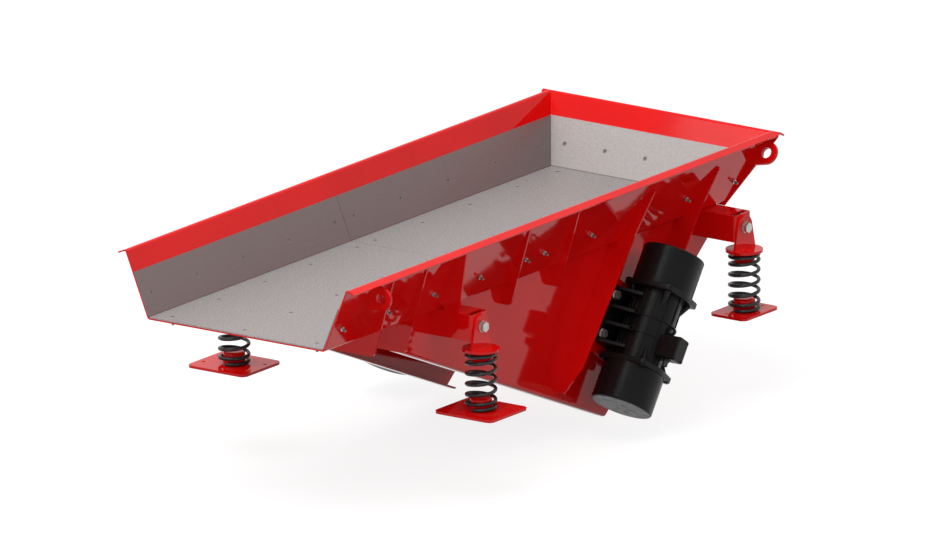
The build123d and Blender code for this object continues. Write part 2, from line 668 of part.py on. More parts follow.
# Bolts that clamp the spring seats to the arms, and their nuts
with BuildPart() as seat_bolts:
    for end, side in CORNER_NAMES:
        outer_face = Plane(origin=(end * spring_x, side * (arm_end + SEAT_PLATE), bolt_z), z_dir=(0, side, 0))
        with BuildSketch(outer_face):
            Circle(SEAT_BOLT_FLATS / 2 + 4)
        extrude(amount=3)
        with BuildSketch(outer_face.offset(3)):
            RegularPolygon(radius=SEAT_BOLT_FLATS / 2, side_count=6, major_radius=False)
        extrude(amount=15)
        with BuildSketch(outer_face):
            Circle(SEAT_BOLT_RADIUS)
        extrude(amount=-SEAT_PLATE - ARM_WALL - 24)
finish(seat_bolts, "seat_bolts")

with BuildPart() as seat_nuts:
    for end, side in CORNER_NAMES:
        with BuildSketch(Plane(origin=(end * spring_x, side * inner_end, bolt_z), z_dir=(0, -side, 0))):
            RegularPolygon(radius=SEAT_BOLT_FLATS / 2, side_count=6, major_radius=False)
            Circle(SEAT_BOLT_RADIUS + SEATED_FIT, mode=Mode.SUBTRACT)
        extrude(amount=19)
finish(seat_nuts, "seat_nuts")

# Lifting lugs: the front pair square to the pan, the rear pair flat on the rear wall's tabs
lug_planes = {
    "front": (Plane.YZ.offset(setback(LUG_FRONT_SETBACK) - LUG_PLATE / 2), 1, 1.0, FLOOR_HEIGHT),
    "rear": (rear_face, -1, 1 / cos(REAR_ANGLE), 0.0),
}
with BuildPart() as lifting_lugs:
    for lug_plane, direction, stretch, base in lug_planes.values():
        for side in (1, -1):
            with BuildSketch(lug_plane):
                lug_centre = (side * LUG_Y, base + LUG_Z * stretch)
                root = [(side * side_y(height), base + height * stretch) for height in LUG_ROOT]
                with Locations(lug_centre):
                    Circle(LUG_RADIUS)
                Polygon(root[0], root[1], lug_centre, align=None)
                make_hull()
                with Locations(lug_centre):
                    Circle(LUG_HOLE_RADIUS, mode=Mode.SUBTRACT)
            extrude(amount=direction * LUG_PLATE)
    add(pan_envelope.part, mode=Mode.SUBTRACT)
finish(lifting_lugs, "lifting_lugs")

# Feet: drilled base plates with the spigot that centres the spring
for (end, side), corner in CORNER_NAMES.items():
    foot_size = FRONT_FOOT if end > 0 else REAR_FOOT
    hole_pitch = FRONT_FOOT_HOLES if end > 0 else REAR_FOOT_HOLES
    with BuildPart() as foot_plate:
        with BuildSketch():
            with Locations((end * spring_x, side * spring_y)):
                RectangleRounded(*foot_size, FOOT_CORNER)
                with GridLocations(*hole_pitch, 2, 2):
                    Circle(FOOT_HOLE_RADIUS, mode=Mode.SUBTRACT)
        extrude(amount=FOOT_PLATE)
        with BuildSketch(Plane.XY.offset(FOOT_PLATE)):
            with Locations((end * spring_x, side * spring_y)):
                Circle(SPIGOT_RADIUS)
        extrude(amount=FOOT_SPIGOT_HEIGHT)
        fillet(edges().group_by(Axis.Z)[-1], radius=SPRING_WIRE - 2)
    finish(foot_plate, f"foot_{corner}")

# Coil springs: closed ends, ground flat where they sit on the feet and under the seats
wire_radius = SPRING_WIRE / 2
coil_low = FOOT_PLATE + wire_radius - SPRING_GROUND
coil_high = SEAT_DISC_Z - wire_radius + SPRING_GROUND
end_rise = SPRING_END_PITCH * SPRING_END_TURNS
open_turns = SPRING_TURNS - 2 * SPRING_END_TURNS
open_rise = coil_high - coil_low - 2 * end_rise
end_coil = Helix(SPRING_END_PITCH, end_rise, SPRING_RADIUS, mode=Mode.PRIVATE)
open_coil = Helix(open_rise / open_turns, open_rise, SPRING_RADIUS, mode=Mode.PRIVATE)
end_turn = 360 * SPRING_END_TURNS
full_turn = end_turn + 360 * open_turns
with BuildPart() as coil_spring:
    with BuildLine() as coil_line:
        add(end_coil.moved(Location((0, 0, coil_low))))
        add(open_coil.moved(Location((0, 0, coil_low + end_rise), (0, 0, end_turn))))
        add(end_coil.moved(Location((0, 0, coil_high - end_rise), (0, 0, full_turn))))
    coil_path = coil_line.wires()[0]
    with BuildSketch(Plane(origin=coil_path @ 0, z_dir=coil_path % 0)):
        RegularPolygon(radius=wire_radius, side_count=SPRING_FACETS)
    sweep(path=coil_path, is_frenet=True)
    split(bisect_by=Plane.XY.offset(FOOT_PLATE), keep=Keep.TOP)
    split(bisect_by=Plane.XY.offset(SEAT_DISC_Z), keep=Keep.BOTTOM)
with BuildPart() as coil_springs:
    for end, side in CORNER_NAMES:
        add(coil_spring.part.moved(Location((end * spring_x, side * spring_y, 0))))
finish(coil_springs, "coil_springs")

# Boss behind one ear of the motor's end flange, drawn at the ear and running down to the barrel
with BuildPart() as ear_boss:
    with BuildSketch(Plane.XY.offset(MOTOR_BODY_HALF - MOTOR_FLANGE)):
        with Locations((BARREL_RADIUS + EAR_BOSS_TIP + EAR_RADIUS - EAR_CIRCLE, 0)):
            Circle(EAR_RADIUS)
    with BuildSketch(Plane.XY.offset(MOTOR_BODY_HALF - MOTOR_FLANGE - EAR_BOSS_LENGTH)):
        with Locations(((BARREL_BORE + BARREL_RADIUS) / 2 - EAR_CIRCLE, 0)):
            Circle(EAR_BOSS_TIP)
    loft()
ear_side = {1: Location((0, 0, 0)), -1: Location((0, 0, 0), (180, 0, 0))}

# Motor housing: a ribbed barrel with bolted ends, on four webs and a foot
with BuildPart() as housing:
    with BuildSketch(Plane.XY.offset(-MOTOR_BODY_HALF)):
        Circle(BARREL_RADIUS)
    extrude(amount=2 * MOTOR_BODY_HALF)
    for start in (-MOTOR_BODY_HALF, MOTOR_BODY_HALF - MOTOR_FLANGE):
        with BuildSketch(Plane.XY.offset(start)):
            Circle(MOTOR_FLANGE_RADIUS)
            with PolarLocations(EAR_CIRCLE, 4, start_angle=45):
                Circle(EAR_RADIUS)
        extrude(amount=MOTOR_FLANGE)
    with BuildSketch(Plane.XZ.offset(MOTOR_SEAT_HEIGHT)):
        RectangleRounded(2 * MOTOR_FOOT_T, 2 * MOTOR_FOOT_A, WEB_PLATE)
    extrude(amount=-MOTOR_FOOT_PLATE)
    for place in WEB_PLACES:
        with BuildSketch(Plane.XY.offset(place - WEB_PLATE / 2)):
            Polygon(
                (-MOTOR_FOOT_T + WEB_PLATE, MOTOR_FOOT_PLATE - MOTOR_SEAT_HEIGHT),
                (MOTOR_FOOT_T - WEB_PLATE, MOTOR_FOOT_PLATE - MOTOR_SEAT_HEIGHT),
                (WEB_TIP_T, 0),
                (-WEB_TIP_T, 0),
                align=None,
            )
        extrude(amount=WEB_PLATE)
    for end in (1, -1):
        for start in PolarLocations(EAR_CIRCLE, 4, start_angle=45):
            add(ear_boss.part.moved(ear_side[end] * start))
    with BuildSketch(Plane.XY.offset(-MOTOR_BODY_HALF + MOTOR_FLANGE)):
        with PolarLocations(BARREL_RADIUS, BARREL_RIBS):
            Rectangle(2 * BARREL_RIB, BARREL_RIB_WIDTH)
    extrude(amount=2 * (MOTOR_BODY_HALF - MOTOR_FLANGE))
    for place in (-SIDE_BOSS_A, SIDE_BOSS_A):
        with BuildSketch(Plane.XY.offset(place - BARREL_RIB_WIDTH / 2)):
            Circle(BARREL_RADIUS + BARREL_RING)
        extrude(amount=BARREL_RIB_WIDTH)
    with BuildSketch(Plane.YZ):
        with Locations((SIDE_BOSS_HEIGHT, SIDE_BOSS_A), (SIDE_BOSS_HEIGHT, -SIDE_BOSS_A)):
            Circle(SIDE_BOSS_RADIUS)
    extrude(amount=SIDE_BOSS_T, both=True)
    with BuildSketch(Plane.YZ.offset(-WEB_PLATE / 2)):
        with Locations((EYE_HEIGHT, EYE_A)):
            Circle(EYE_RADIUS)
        with Locations((EYE_HEIGHT - EYE_RADIUS, EYE_A)):
            Rectangle(2 * EYE_RADIUS, 2 * EYE_RADIUS)
        with Locations((EYE_HEIGHT, EYE_A)):
            Circle(EYE_HOLE, mode=Mode.SUBTRACT)
    extrude(amount=WEB_PLATE)
    with BuildSketch(Plane.XY.offset(-MOTOR_BODY_HALF)):
        Circle(BARREL_BORE)
    extrude(amount=2 * MOTOR_BODY_HALF, mode=Mode.SUBTRACT)
    for end in (1, -1):
        with BuildSketch(Plane.YZ.offset(end * SIDE_BOSS_T)):
            with Locations((SIDE_BOSS_HEIGHT, SIDE_BOSS_A), (SIDE_BOSS_HEIGHT, -SIDE_BOSS_A)):
                Circle(SIDE_BOSS_HOLE)
        extrude(amount=-end * SIDE_BOSS_RADIUS, mode=Mode.SUBTRACT)
    with BuildSketch(Plane.XZ.offset(MOTOR_SEAT_HEIGHT)):
        with GridLocations(MOTOR_BOLT_T, MOTOR_BOLT_A, 2, 2):
            Circle(MOTOR_BOLT_RADIUS + 1)
    extrude(amount=-MOTOR_FOOT_PLATE, mode=Mode.SUBTRACT)
    for end in (1, -1):
        with BuildSketch(Plane.XY.offset(end * MOTOR_BODY_HALF)):
            with PolarLocations(EAR_CIRCLE, 4, start_angle=45):
                Circle(COVER_SCREW_RADIUS + SEATED_FIT)
        extrude(amount=-end * COVER_SCREW_DEPTH, mode=Mode.SUBTRACT)

# Cover over one end of the motor: a cup with an eared rim
with BuildPart() as cover:
    with BuildSketch(Plane.XY.offset(MOTOR_BODY_HALF)):
        Circle(COVER_RADIUS)
    extrude(amount=COVER_LENGTH)
    fillet(edges().group_by(Axis.Z)[-1], radius=COVER_EDGE)
    with BuildSketch(Plane.XY.offset(MOTOR_BODY_HALF)):
        Circle(MOTOR_FLANGE_RADIUS)
        with PolarLocations(EAR_CIRCLE, 4, start_angle=45):
            Circle(EAR_RADIUS)
    extrude(amount=COVER_RIM)
    with BuildSketch(Plane.XY.offset(MOTOR_BODY_HALF)):
        Circle(COVER_RADIUS - COVER_WALL)
    extrude(amount=COVER_LENGTH - COVER_WALL, mode=Mode.SUBTRACT)
    with BuildSketch(Plane.XY.offset(MOTOR_BODY_HALF)):
        with PolarLocations(EAR_CIRCLE, 4, start_angle=45):
            Circle(COVER_SCREW_RADIUS + 0.5)
    extrude(amount=COVER_RIM, mode=Mode.SUBTRACT)

# Screws that hold one cover, in blind holes in the housing's ears
with BuildPart() as cover_screw_set:
    with BuildSketch(Plane.XY.offset(MOTOR_BODY_HALF + COVER_RIM)):
        with PolarLocations(EAR_CIRCLE, 4, start_angle=45):
            RegularPolygon(radius=COVER_SCREW_FLATS / 2, side_count=6, major_radius=False)
    extrude(amount=COVER_SCREW_HEAD)
    with BuildSketch(Plane.XY.offset(MOTOR_BODY_HALF + COVER_RIM)):
        with PolarLocations(EAR_CIRCLE, 4, start_angle=45):
            Circle(COVER_SCREW_RADIUS)
    extrude(amount=-COVER_RIM - COVER_SCREW_DEPTH)

# Terminal box on the barrel and its screwed lid
box_middle = (BOX_A[0] + BOX_A[1]) / 2
box_length = BOX_A[1] - BOX_A[0]
gland_face = Plane(origin=(0, GLAND_HEIGHT, BOX_A[0]), x_dir=(1, 0, 0), z_dir=(0, 0, -1))
with BuildPart() as terminal_box:
    with BuildSketch(Plane.XZ.offset(-BOX_TOP + BOX_LID)):
        with Locations((0, box_middle)):
            RectangleRounded(2 * BOX_HALF_T, box_length, 2 * BOX_WALL)
            RectangleRounded(2 * (BOX_HALF_T - BOX_WALL), box_length - 2 * BOX_WALL, BOX_WALL, mode=Mode.SUBTRACT)
    extrude(amount=BOX_TOP)
    with BuildSketch(Plane.XY.offset(BOX_A[0])):
        Circle(BARREL_RADIUS)
    extrude(amount=box_length, mode=Mode.SUBTRACT)
    add(housing.part, mode=Mode.SUBTRACT)
    split(bisect_by=Plane.XZ, keep=Keep.BOTTOM)
    with BuildSketch(gland_face):
        Circle(GLAND_RADIUS - 2)
    extrude(amount=-2 * BOX_WALL, mode=Mode.SUBTRACT)

with BuildPart() as terminal_lid:
    with BuildSketch(Plane.XZ.offset(-BOX_TOP)):
        with Locations((0, box_middle)):
            RectangleRounded(2 * BOX_HALF_T, box_length, 2 * BOX_WALL)
    extrude(amount=BOX_LID)
    fillet(edges().group_by(Axis.Y)[-1], radius=BOX_WALL - 1)
    with BuildSketch(Plane.XZ.offset(-BOX_TOP + BOX_LID)):
        with Locations((0, box_middle)):
            RectangleRounded(2 * (BOX_HALF_T - BOX_WALL), box_length - 2 * BOX_WALL, BOX_WALL)
    extrude(amount=-BOX_LID + BOX_WALL, mode=Mode.SUBTRACT)
    with BuildSketch(Plane.XZ.offset(-BOX_TOP)):
        with Locations((0, box_middle)):
            with GridLocations(2 * (BOX_HALF_T - BOX_WALL) - 8, box_length - 2 * BOX_WALL - 8, 2, 2):
                Circle(BOX_WALL)
    extrude(amount=-2)

# Cable gland: a hexagon against the box wall and a dome with the cable's hole
with BuildPart() as cable_gland:
    with BuildSketch(gland_face):
        RegularPolygon(radius=GLAND_RADIUS, side_count=6)
    extrude(amount=GLAND_LENGTH / 3)
    with BuildSketch(gland_face.offset(GLAND_LENGTH / 3)):
        Circle(GLAND_RADIUS - 2)
    extrude(amount=2 * GLAND_LENGTH / 3)
    fillet(edges().group_by(Axis.Z)[0], radius=3)
    with BuildSketch(gland_face):
        Circle(GLAND_RADIUS - 2 - SEATED_FIT)
    extrude(amount=-BOX_WALL)
    with BuildSketch(gland_face.offset(-BOX_WALL)):
        Circle(GLAND_BORE)
    extrude(amount=GLAND_LENGTH + BOX_WALL, mode=Mode.SUBTRACT)

# Inside the barrel: stator, the two end shields and the bearings they hold
with BuildPart() as stator_core:
    with BuildSketch(Plane.XY.offset(-STATOR_HALF)):
        Circle(BARREL_BORE)
        Circle(STATOR_BORE, mode=Mode.SUBTRACT)
    extrude(amount=2 * STATOR_HALF)

with BuildPart() as end_shields:
    for end in (1, -1):
        with BuildSketch(Plane.XY.offset(end * SHIELD_HALF)):
            Circle(BARREL_BORE)
            Circle(BEARING_RADIUS, mode=Mode.SUBTRACT)
        extrude(amount=end * (MOTOR_BODY_HALF - SHIELD_HALF))
        with BuildSketch(Plane.XY.offset(end * MOTOR_BODY_HALF)):
            Circle(BARREL_BORE)
            Circle(SHIELD_BORE, mode=Mode.SUBTRACT)
        extrude(amount=-end * (MOTOR_BODY_HALF - SHIELD_HALF - BEARING_WIDTH))

with BuildPart() as bearing_pair:
    for end in (1, -1):
        with BuildSketch(Plane.XY.offset(end * SHIELD_HALF)):
            Circle(BEARING_RADIUS)
            Circle(SHAFT_RADIUS + RUNNING_FIT, mode=Mode.SUBTRACT)
        extrude(amount=end * BEARING_WIDTH)

# Rotor: core and shaft; the eccentric weights are clamped on the shaft ends
with BuildPart() as rotor:
    with BuildSketch(Plane.XY.offset(-SHAFT_HALF)):
        Circle(SHAFT_RADIUS)
    extrude(amount=2 * SHAFT_HALF)
    with BuildSketch(Plane.XY.offset(-CORE_HALF)):
        Circle(CORE_RADIUS)
    extrude(amount=2 * CORE_HALF)

with BuildPart() as weight_set:
    for end in (1, -1):
        for place in WEIGHT_PLACES:
            with BuildSketch(Plane.XY.offset(end * place)):
                Circle(WEIGHT_RADIUS)
                with Locations((WEIGHT_RADIUS, 0)):
                    Rectangle(2 * WEIGHT_RADIUS, 2 * WEIGHT_RADIUS, mode=Mode.SUBTRACT)
                Circle(WEIGHT_HUB)
                Circle(SHAFT_RADIUS, mode=Mode.SUBTRACT)
            extrude(amount=end * WEIGHT_PLATE)

# Motor bolts through foot and seat, with washers, and nuts behind the seat
foot_top = MOTOR_SEAT_HEIGHT - MOTOR_FOOT_PLATE
bolt_reach = MOTOR_FOOT_PLATE + MOTOR_PLATE + MOTOR_NUT + 3
with BuildPart() as motor_bolt_set:
    with BuildSketch(Plane.XZ.offset(foot_top)):
        with GridLocations(MOTOR_BOLT_T, MOTOR_BOLT_A, 2, 2):
            Circle(MOTOR_BOLT_RADIUS)
    extrude(amount=bolt_reach)
    with BuildSketch(Plane.XZ.offset(foot_top)):
        with GridLocations(MOTOR_BOLT_T, MOTOR_BOLT_A, 2, 2):
            Circle(MOTOR_WASHER_RADIUS)
    extrude(amount=-MOTOR_WASHER)
    with BuildSketch(Plane.XZ.offset(foot_top - MOTOR_WASHER)):
        with GridLocations(MOTOR_BOLT_T, MOTOR_BOLT_A, 2, 2):
            RegularPolygon(radius=MOTOR_BOLT_FLATS / 2, side_count=6, major_radius=False)
    extrude(amount=-MOTOR_BOLT_HEAD)

with BuildPart() as motor_nut_set:
    with BuildSketch(Plane.XZ.offset(MOTOR_SEAT_HEIGHT + MOTOR_PLATE)):
        with GridLocations(MOTOR_BOLT_T, MOTOR_BOLT_A, 2, 2):
            RegularPolygon(radius=MOTOR_BOLT_FLATS / 2, side_count=6, major_radius=False)
            Circle(MOTOR_BOLT_RADIUS + SEATED_FIT, mode=Mode.SUBTRACT)
    extrude(amount=MOTOR_NUT)

# Each motor stands in its own frame; on the right the frame is turned about the motor axis
half_turn_x = Location((0, 0, 0), (180, 0, 0))
half_turn_z = Location((0, 0, 0), (0, 0, 180))
for side, side_name in SIDE_NAMES.items():
    place = motor_frames[side].location
    weight_place = place if side > 0 else place * half_turn_z
    for block, name, seat in (
        (housing, "motor_housing", place),
        (cover, "upper_cover", place),
        (cover, "lower_cover", place * half_turn_x),
        (rotor, "rotor", place),
        (weight_set, "eccentric_weights", weight_place),
    ):
        with BuildPart() as placed:
            add(block.part.moved(seat))
        finish(placed, f"{name}_{side_name}")

# Like pieces of both motors, written as groups
for block, name in (
    (terminal_box, "terminal_boxes"),
    (terminal_lid, "terminal_lids"),
    (cable_gland, "cable_glands"),
    (stator_core, "stator_cores"),
    (end_shields, "end_shields"),
    (bearing_pair, "motor_bearings"),
    (motor_bolt_set, "motor_bolts"),
    (motor_nut_set, "motor_nuts"),
):
    with BuildPart() as grouped:
        for side in SIDE_NAMES:
            add(block.part.moved(motor_frames[side].location))
    finish(grouped, name)

with BuildPart() as cover_screws:
    for side in SIDE_NAMES:
        add(cover_screw_set.part.moved(motor_frames[side].location))
        add(cover_screw_set.part.moved(motor_frames[side].location * half_turn_x))
finish(cover_screws, "cover_screws")
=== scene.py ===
"""Dresses a vibrating feeder: an open pan on coil springs, shaken by two unbalance motors."""

import json
import logging
import math
from dataclasses import dataclass
from enum import Enum
from typing import Callable, List, Optional, Sequence, Tuple

import bpy
from mathutils import Matrix, Vector


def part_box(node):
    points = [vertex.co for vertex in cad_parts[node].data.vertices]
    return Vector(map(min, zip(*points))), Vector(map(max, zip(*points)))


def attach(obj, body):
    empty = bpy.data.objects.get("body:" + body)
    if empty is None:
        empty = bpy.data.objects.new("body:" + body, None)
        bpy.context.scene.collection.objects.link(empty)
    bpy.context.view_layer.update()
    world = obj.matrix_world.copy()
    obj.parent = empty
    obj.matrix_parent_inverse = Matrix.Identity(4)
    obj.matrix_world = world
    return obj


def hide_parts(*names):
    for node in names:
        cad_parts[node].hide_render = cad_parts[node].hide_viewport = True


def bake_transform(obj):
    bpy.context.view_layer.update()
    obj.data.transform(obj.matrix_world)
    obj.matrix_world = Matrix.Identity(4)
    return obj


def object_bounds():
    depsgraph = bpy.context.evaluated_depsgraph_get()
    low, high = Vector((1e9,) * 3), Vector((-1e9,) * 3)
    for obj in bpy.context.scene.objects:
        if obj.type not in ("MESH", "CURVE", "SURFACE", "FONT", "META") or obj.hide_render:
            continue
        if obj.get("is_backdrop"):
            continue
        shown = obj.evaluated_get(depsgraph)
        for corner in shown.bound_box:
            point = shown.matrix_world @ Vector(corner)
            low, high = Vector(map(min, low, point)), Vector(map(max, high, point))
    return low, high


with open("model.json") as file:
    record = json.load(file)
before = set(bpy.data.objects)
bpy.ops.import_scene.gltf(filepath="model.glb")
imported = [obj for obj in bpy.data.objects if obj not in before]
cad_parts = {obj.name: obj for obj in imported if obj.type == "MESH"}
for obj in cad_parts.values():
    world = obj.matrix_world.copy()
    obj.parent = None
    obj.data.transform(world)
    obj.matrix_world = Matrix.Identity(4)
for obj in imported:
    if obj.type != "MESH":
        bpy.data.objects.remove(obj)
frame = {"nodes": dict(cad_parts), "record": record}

logging.basicConfig(level=logging.INFO, format="%(message)s")
log = logging.getLogger("feeder")

Colour = Tuple[float, float, float]
Point = Tuple[float, float, float]

MM = 0.001
HEXAGON = 6
NOISE_LOW, NOISE_HIGH = 0.3, 0.7


def deselect_all() -> None:
    """Leaves nothing selected and nothing in edit mode."""
    if bpy.context.object and bpy.context.object.mode != "OBJECT":
        bpy.ops.object.mode_set(mode="OBJECT")
    bpy.ops.object.select_all(action="DESELECT")


def make_active(piece: bpy.types.Object) -> bpy.types.Object:
    """Selects one object alone and makes it the active one.

    Args:
        piece: The object to work on.

    Returns:
        The same object.
    """
    deselect_all()
    piece.select_set(True)
    bpy.context.view_layer.objects.active = piece
    return piece


def settle(piece: bpy.types.Object) -> bpy.types.Object:
    """Moves a piece's place, turn and scale into its mesh.

    Args:
        piece: A finished mesh object.

    Returns:
        The same object, at the origin.
    """
    make_active(piece)
    bpy.ops.object.transform_apply(location=True, rotation=True, scale=True)
    return piece


def gather(
    master: bpy.types.Object, seats: Sequence[Matrix], name: str, finish: bpy.types.Material
) -> bpy.types.Object:
    """Sets a copy of a piece at every seat and joins the copies.

    Args:
        master: The piece to copy, which is used up.
        seats: Where the copies go.
        name: The joined piece's name.
        finish: Its material.

    Returns:
        The joined piece.
    """
    copies = []
    for seat in seats:
        copy = master.copy()
        copy.data = master.data.copy()
        bpy.context.collection.objects.link(copy)
        copy.data.transform(seat)
        copies.append(copy)
    bpy.data.objects.remove(master)
    make_active(copies[0])
    for copy in copies:
        copy.select_set(True)
    bpy.ops.object.join()
    joined = bpy.context.object
    joined.name = name
    joined.data.materials.clear()
    joined.data.materials.append(finish)
    return joined


class Grain(Enum):
    """Directions in which rolled or brushed sheet shows its lines."""

    ALONG_X = (2.0, 60.0, 60.0)
    ALONG_Y = (60.0, 2.0, 60.0)


class Shader:
    """One material's node tree, with short calls to add and join nodes."""

    def __init__(self, name: str) -> None:
        """Starts an empty material with a Principled shader.

        Args:
            name: The material's name.
        """
        self.material = bpy.data.materials.new(name)
        self.material.use_nodes = True
        self.tree = self.material.node_tree
        self.surface = self.tree.nodes["Principled BSDF"]
        self.place = self.tree.nodes.new("ShaderNodeTexCoord")

    def node(self, kind: str, **values: object) -> bpy.types.Node:
        """Adds a node and sets its properties or input sockets.

        Args:
            kind: The node's type name.
            **values: Property names, or socket names with spaces written as underscores.

        Returns:
            The new node.
        """
        made = self.tree.nodes.new(kind)
        for key, value in values.items():
            socket = key.replace("_", " ")
            if hasattr(made, key):
                setattr(made, key, value)
            else:
                made.inputs[socket].default_value = value
        return made

    def join(self, start: bpy.types.NodeSocket, end: bpy.types.NodeSocket) -> None:
        """Links one socket to another.

        Args:
            start: The output socket.
            end: The input socket that it drives.
        """
        self.tree.links.new(start, end)

    def set(self, **values: object) -> None:
        """Sets plain values on the Principled shader's own sockets.

        Args:
            **values: Socket names, with spaces written as underscores, and their values.
        """
        for key, value in values.items():
            self.surface.inputs[key.replace("_", " ")].default_value = value

    def noise(
        self, scale: float, detail: float = 4.0, stretch: Point = (1.0, 1.0, 1.0)
    ) -> bpy.types.NodeSocket:
        """Adds a noise on object coordinates.

        Args:
            scale: Features per metre.
            detail: Octaves of the noise.
            stretch: Factor on each axis before the noise.

        Returns:
            The noise's factor socket.
        """
        mapping = self.node("ShaderNodeMapping")
        mapping.inputs["Scale"].default_value = stretch
        self.join(self.place.outputs["Object"], mapping.inputs["Vector"])
        texture = self.node("ShaderNodeTexNoise", Scale=scale, Detail=detail)
        self.join(mapping.outputs["Vector"], texture.inputs["Vector"])
        return texture.outputs["Fac"]

    def ramp(
        self, source: bpy.types.NodeSocket, stops: Sequence[Tuple[float, Colour]]
    ) -> bpy.types.NodeSocket:
        """Adds a colour ramp.

        Args:
            source: The factor socket.
            stops: Places and colours, in order.

        Returns:
            The ramp's colour socket.
        """
        band = self.node("ShaderNodeValToRGB")
        elements = band.color_ramp.elements
        while len(elements) < len(stops):
            elements.new(0.5)
        for element, (place, colour) in zip(elements, stops):
            element.position = place
            element.color = (*colour, 1.0)
        self.join(source, band.inputs["Fac"])
        return band.outputs["Color"]

    def spread(self, source: bpy.types.NodeSocket, low: float, high: float) -> bpy.types.NodeSocket:
        """Maps a noise's middle range onto two values.

        Args:
            source: The factor socket.
            low: Value at the dark end.
            high: Value at the light end.

        Returns:
            The mapped value's socket.
        """
        mapped = self.node("ShaderNodeMapRange")
        ends = {"From Min": NOISE_LOW, "From Max": NOISE_HIGH, "To Min": low, "To Max": high}
        for key, value in ends.items():
            mapped.inputs[key].default_value = value
        self.join(source, mapped.inputs["Value"])
        return mapped.outputs["Result"]

    def relief(self, source: bpy.types.NodeSocket, height: float, rounding: float = 0.0) -> None:
        """Drives the surface's relief, with its sharp edges rounded.

        Args:
            source: The height's factor socket.
            height: Depth of the relief in metres.
            rounding: Radius that sharp edges seem to have, in metres.
        """
        bump = self.node("ShaderNodeBump", Strength=1.0, Distance=height)
        self.join(source, bump.inputs["Height"])
        if rounding > 0.0:
            edge = self.node("ShaderNodeBevel", samples=4)
            edge.inputs["Radius"].default_value = rounding
            self.join(edge.outputs["Normal"], bump.inputs["Normal"])
        self.join(bump.outputs["Normal"], self.surface.inputs["Normal"])


def shade(colour: Colour, factor: float) -> Colour:
    """Makes a colour lighter or darker.

    Args:
        colour: The colour to start from.
        factor: What each channel is multiplied by.

    Returns:
        The new colour, no channel above 1.
    """
    return tuple(min(1.0, c * factor) for c in colour)


@dataclass(frozen=True)
class SprayPaint:
    """Sprayed paint with a slight orange peel and an uneven film."""

    name: str
    colour: Colour
    roughness: float = 0.05
    ior: float = 1.3
    unevenness: float = 0.06
    peel_scale: float = 420.0
    peel_height: float = 0.000006
    edge_radius: float = 0.0015
    cloud_scale: float = 3.5
    sheen_scale: float = 40.0
    sheen_range: Tuple[float, float] = (0.8, 1.3)

    def build(self) -> bpy.types.Material:
        """Makes the paint's material.

        Returns:
            The material.
        """
        shader = Shader(self.name)
        tone = shader.ramp(
            shader.noise(self.cloud_scale, 5.0),
            (
                (NOISE_LOW, shade(self.colour, 1.0 - self.unevenness)),
                (NOISE_HIGH, shade(self.colour, 1.0 + self.unevenness)),
            ),
        )
        shader.join(tone, shader.surface.inputs["Base Color"])
        low, high = (self.roughness * share for share in self.sheen_range)
        sheen = shader.spread(shader.noise(self.sheen_scale), low, high)
        shader.join(sheen, shader.surface.inputs["Roughness"])
        shader.set(IOR=self.ior)
        shader.relief(shader.noise(self.peel_scale, 2.0), self.peel_height, self.edge_radius)
        return shader.material


@dataclass(frozen=True)
class RolledPlate:
    """Bare rolled wear plate: fine specks, faint drawn lines and a dull sheen."""

    name: str
    colour: Colour
    grain: Grain = Grain.ALONG_X
    roughness: float = 0.42
    metallic: float = 0.22
    line_share: float = 0.12
    contrast: float = 0.34
    line_scale: float = 9.0
    speck_scale: float = 150.0
    sheen_range: Tuple[float, float] = (0.8, 1.25)
    speck_height: float = 0.00010
    edge_radius: float = 0.001

    def build(self) -> bpy.types.Material:
        """Makes the plate's material.

        Returns:
            The material.
        """
        shader = Shader(self.name)
        lines = shader.noise(self.line_scale, 4.0, self.grain.value)
        specks = shader.noise(self.speck_scale, 4.0)
        blend = shader.node("ShaderNodeMix", data_type="FLOAT")
        blend.inputs[0].default_value = 1.0 - self.line_share
        shader.join(lines, blend.inputs[2])
        shader.join(specks, blend.inputs[3])
        tone = shader.ramp(
            blend.outputs[0],
            (
                (0.34, shade(self.colour, 1.0 - self.contrast)),
                (0.50, self.colour),
                (0.66, shade(self.colour, 1.0 + self.contrast)),
            ),
        )
        shader.join(tone, shader.surface.inputs["Base Color"])
        low, high = (self.roughness * share for share in self.sheen_range)
        shader.join(shader.spread(specks, low, high), shader.surface.inputs["Roughness"])
        shader.set(Metallic=self.metallic)
        shader.relief(specks, self.speck_height, self.edge_radius)
        return shader.material


@dataclass(frozen=True)
class PlainMetal:
    """Plated or machined metal with fine turned marks."""

    name: str
    colour: Colour
    roughness: float
    metallic: float = 0.9
    cloud_scale: float = 60.0
    darkest: float = 0.82
    lightest: float = 1.12
    sheen_scale: float = 180.0
    sheen_range: Tuple[float, float] = (0.75, 1.3)
    mark_scale: float = 900.0
    mark_height: float = 0.00003
    edge_radius: float = 0.0006

    def build(self) -> bpy.types.Material:
        """Makes the metal's material.

        Returns:
            The material.
        """
        shader = Shader(self.name)
        tone = shader.ramp(
            shader.noise(self.cloud_scale, 5.0),
            ((0.35, shade(self.colour, self.darkest)), (0.65, shade(self.colour, self.lightest))),
        )
        shader.join(tone, shader.surface.inputs["Base Color"])
        low, high = (self.roughness * share for share in self.sheen_range)
        sheen = shader.spread(shader.noise(self.sheen_scale), low, high)
        shader.join(sheen, shader.surface.inputs["Roughness"])
        shader.set(Metallic=self.metallic)
        shader.relief(shader.noise(self.mark_scale, 2.0), self.mark_height, self.edge_radius)
        return shader.material


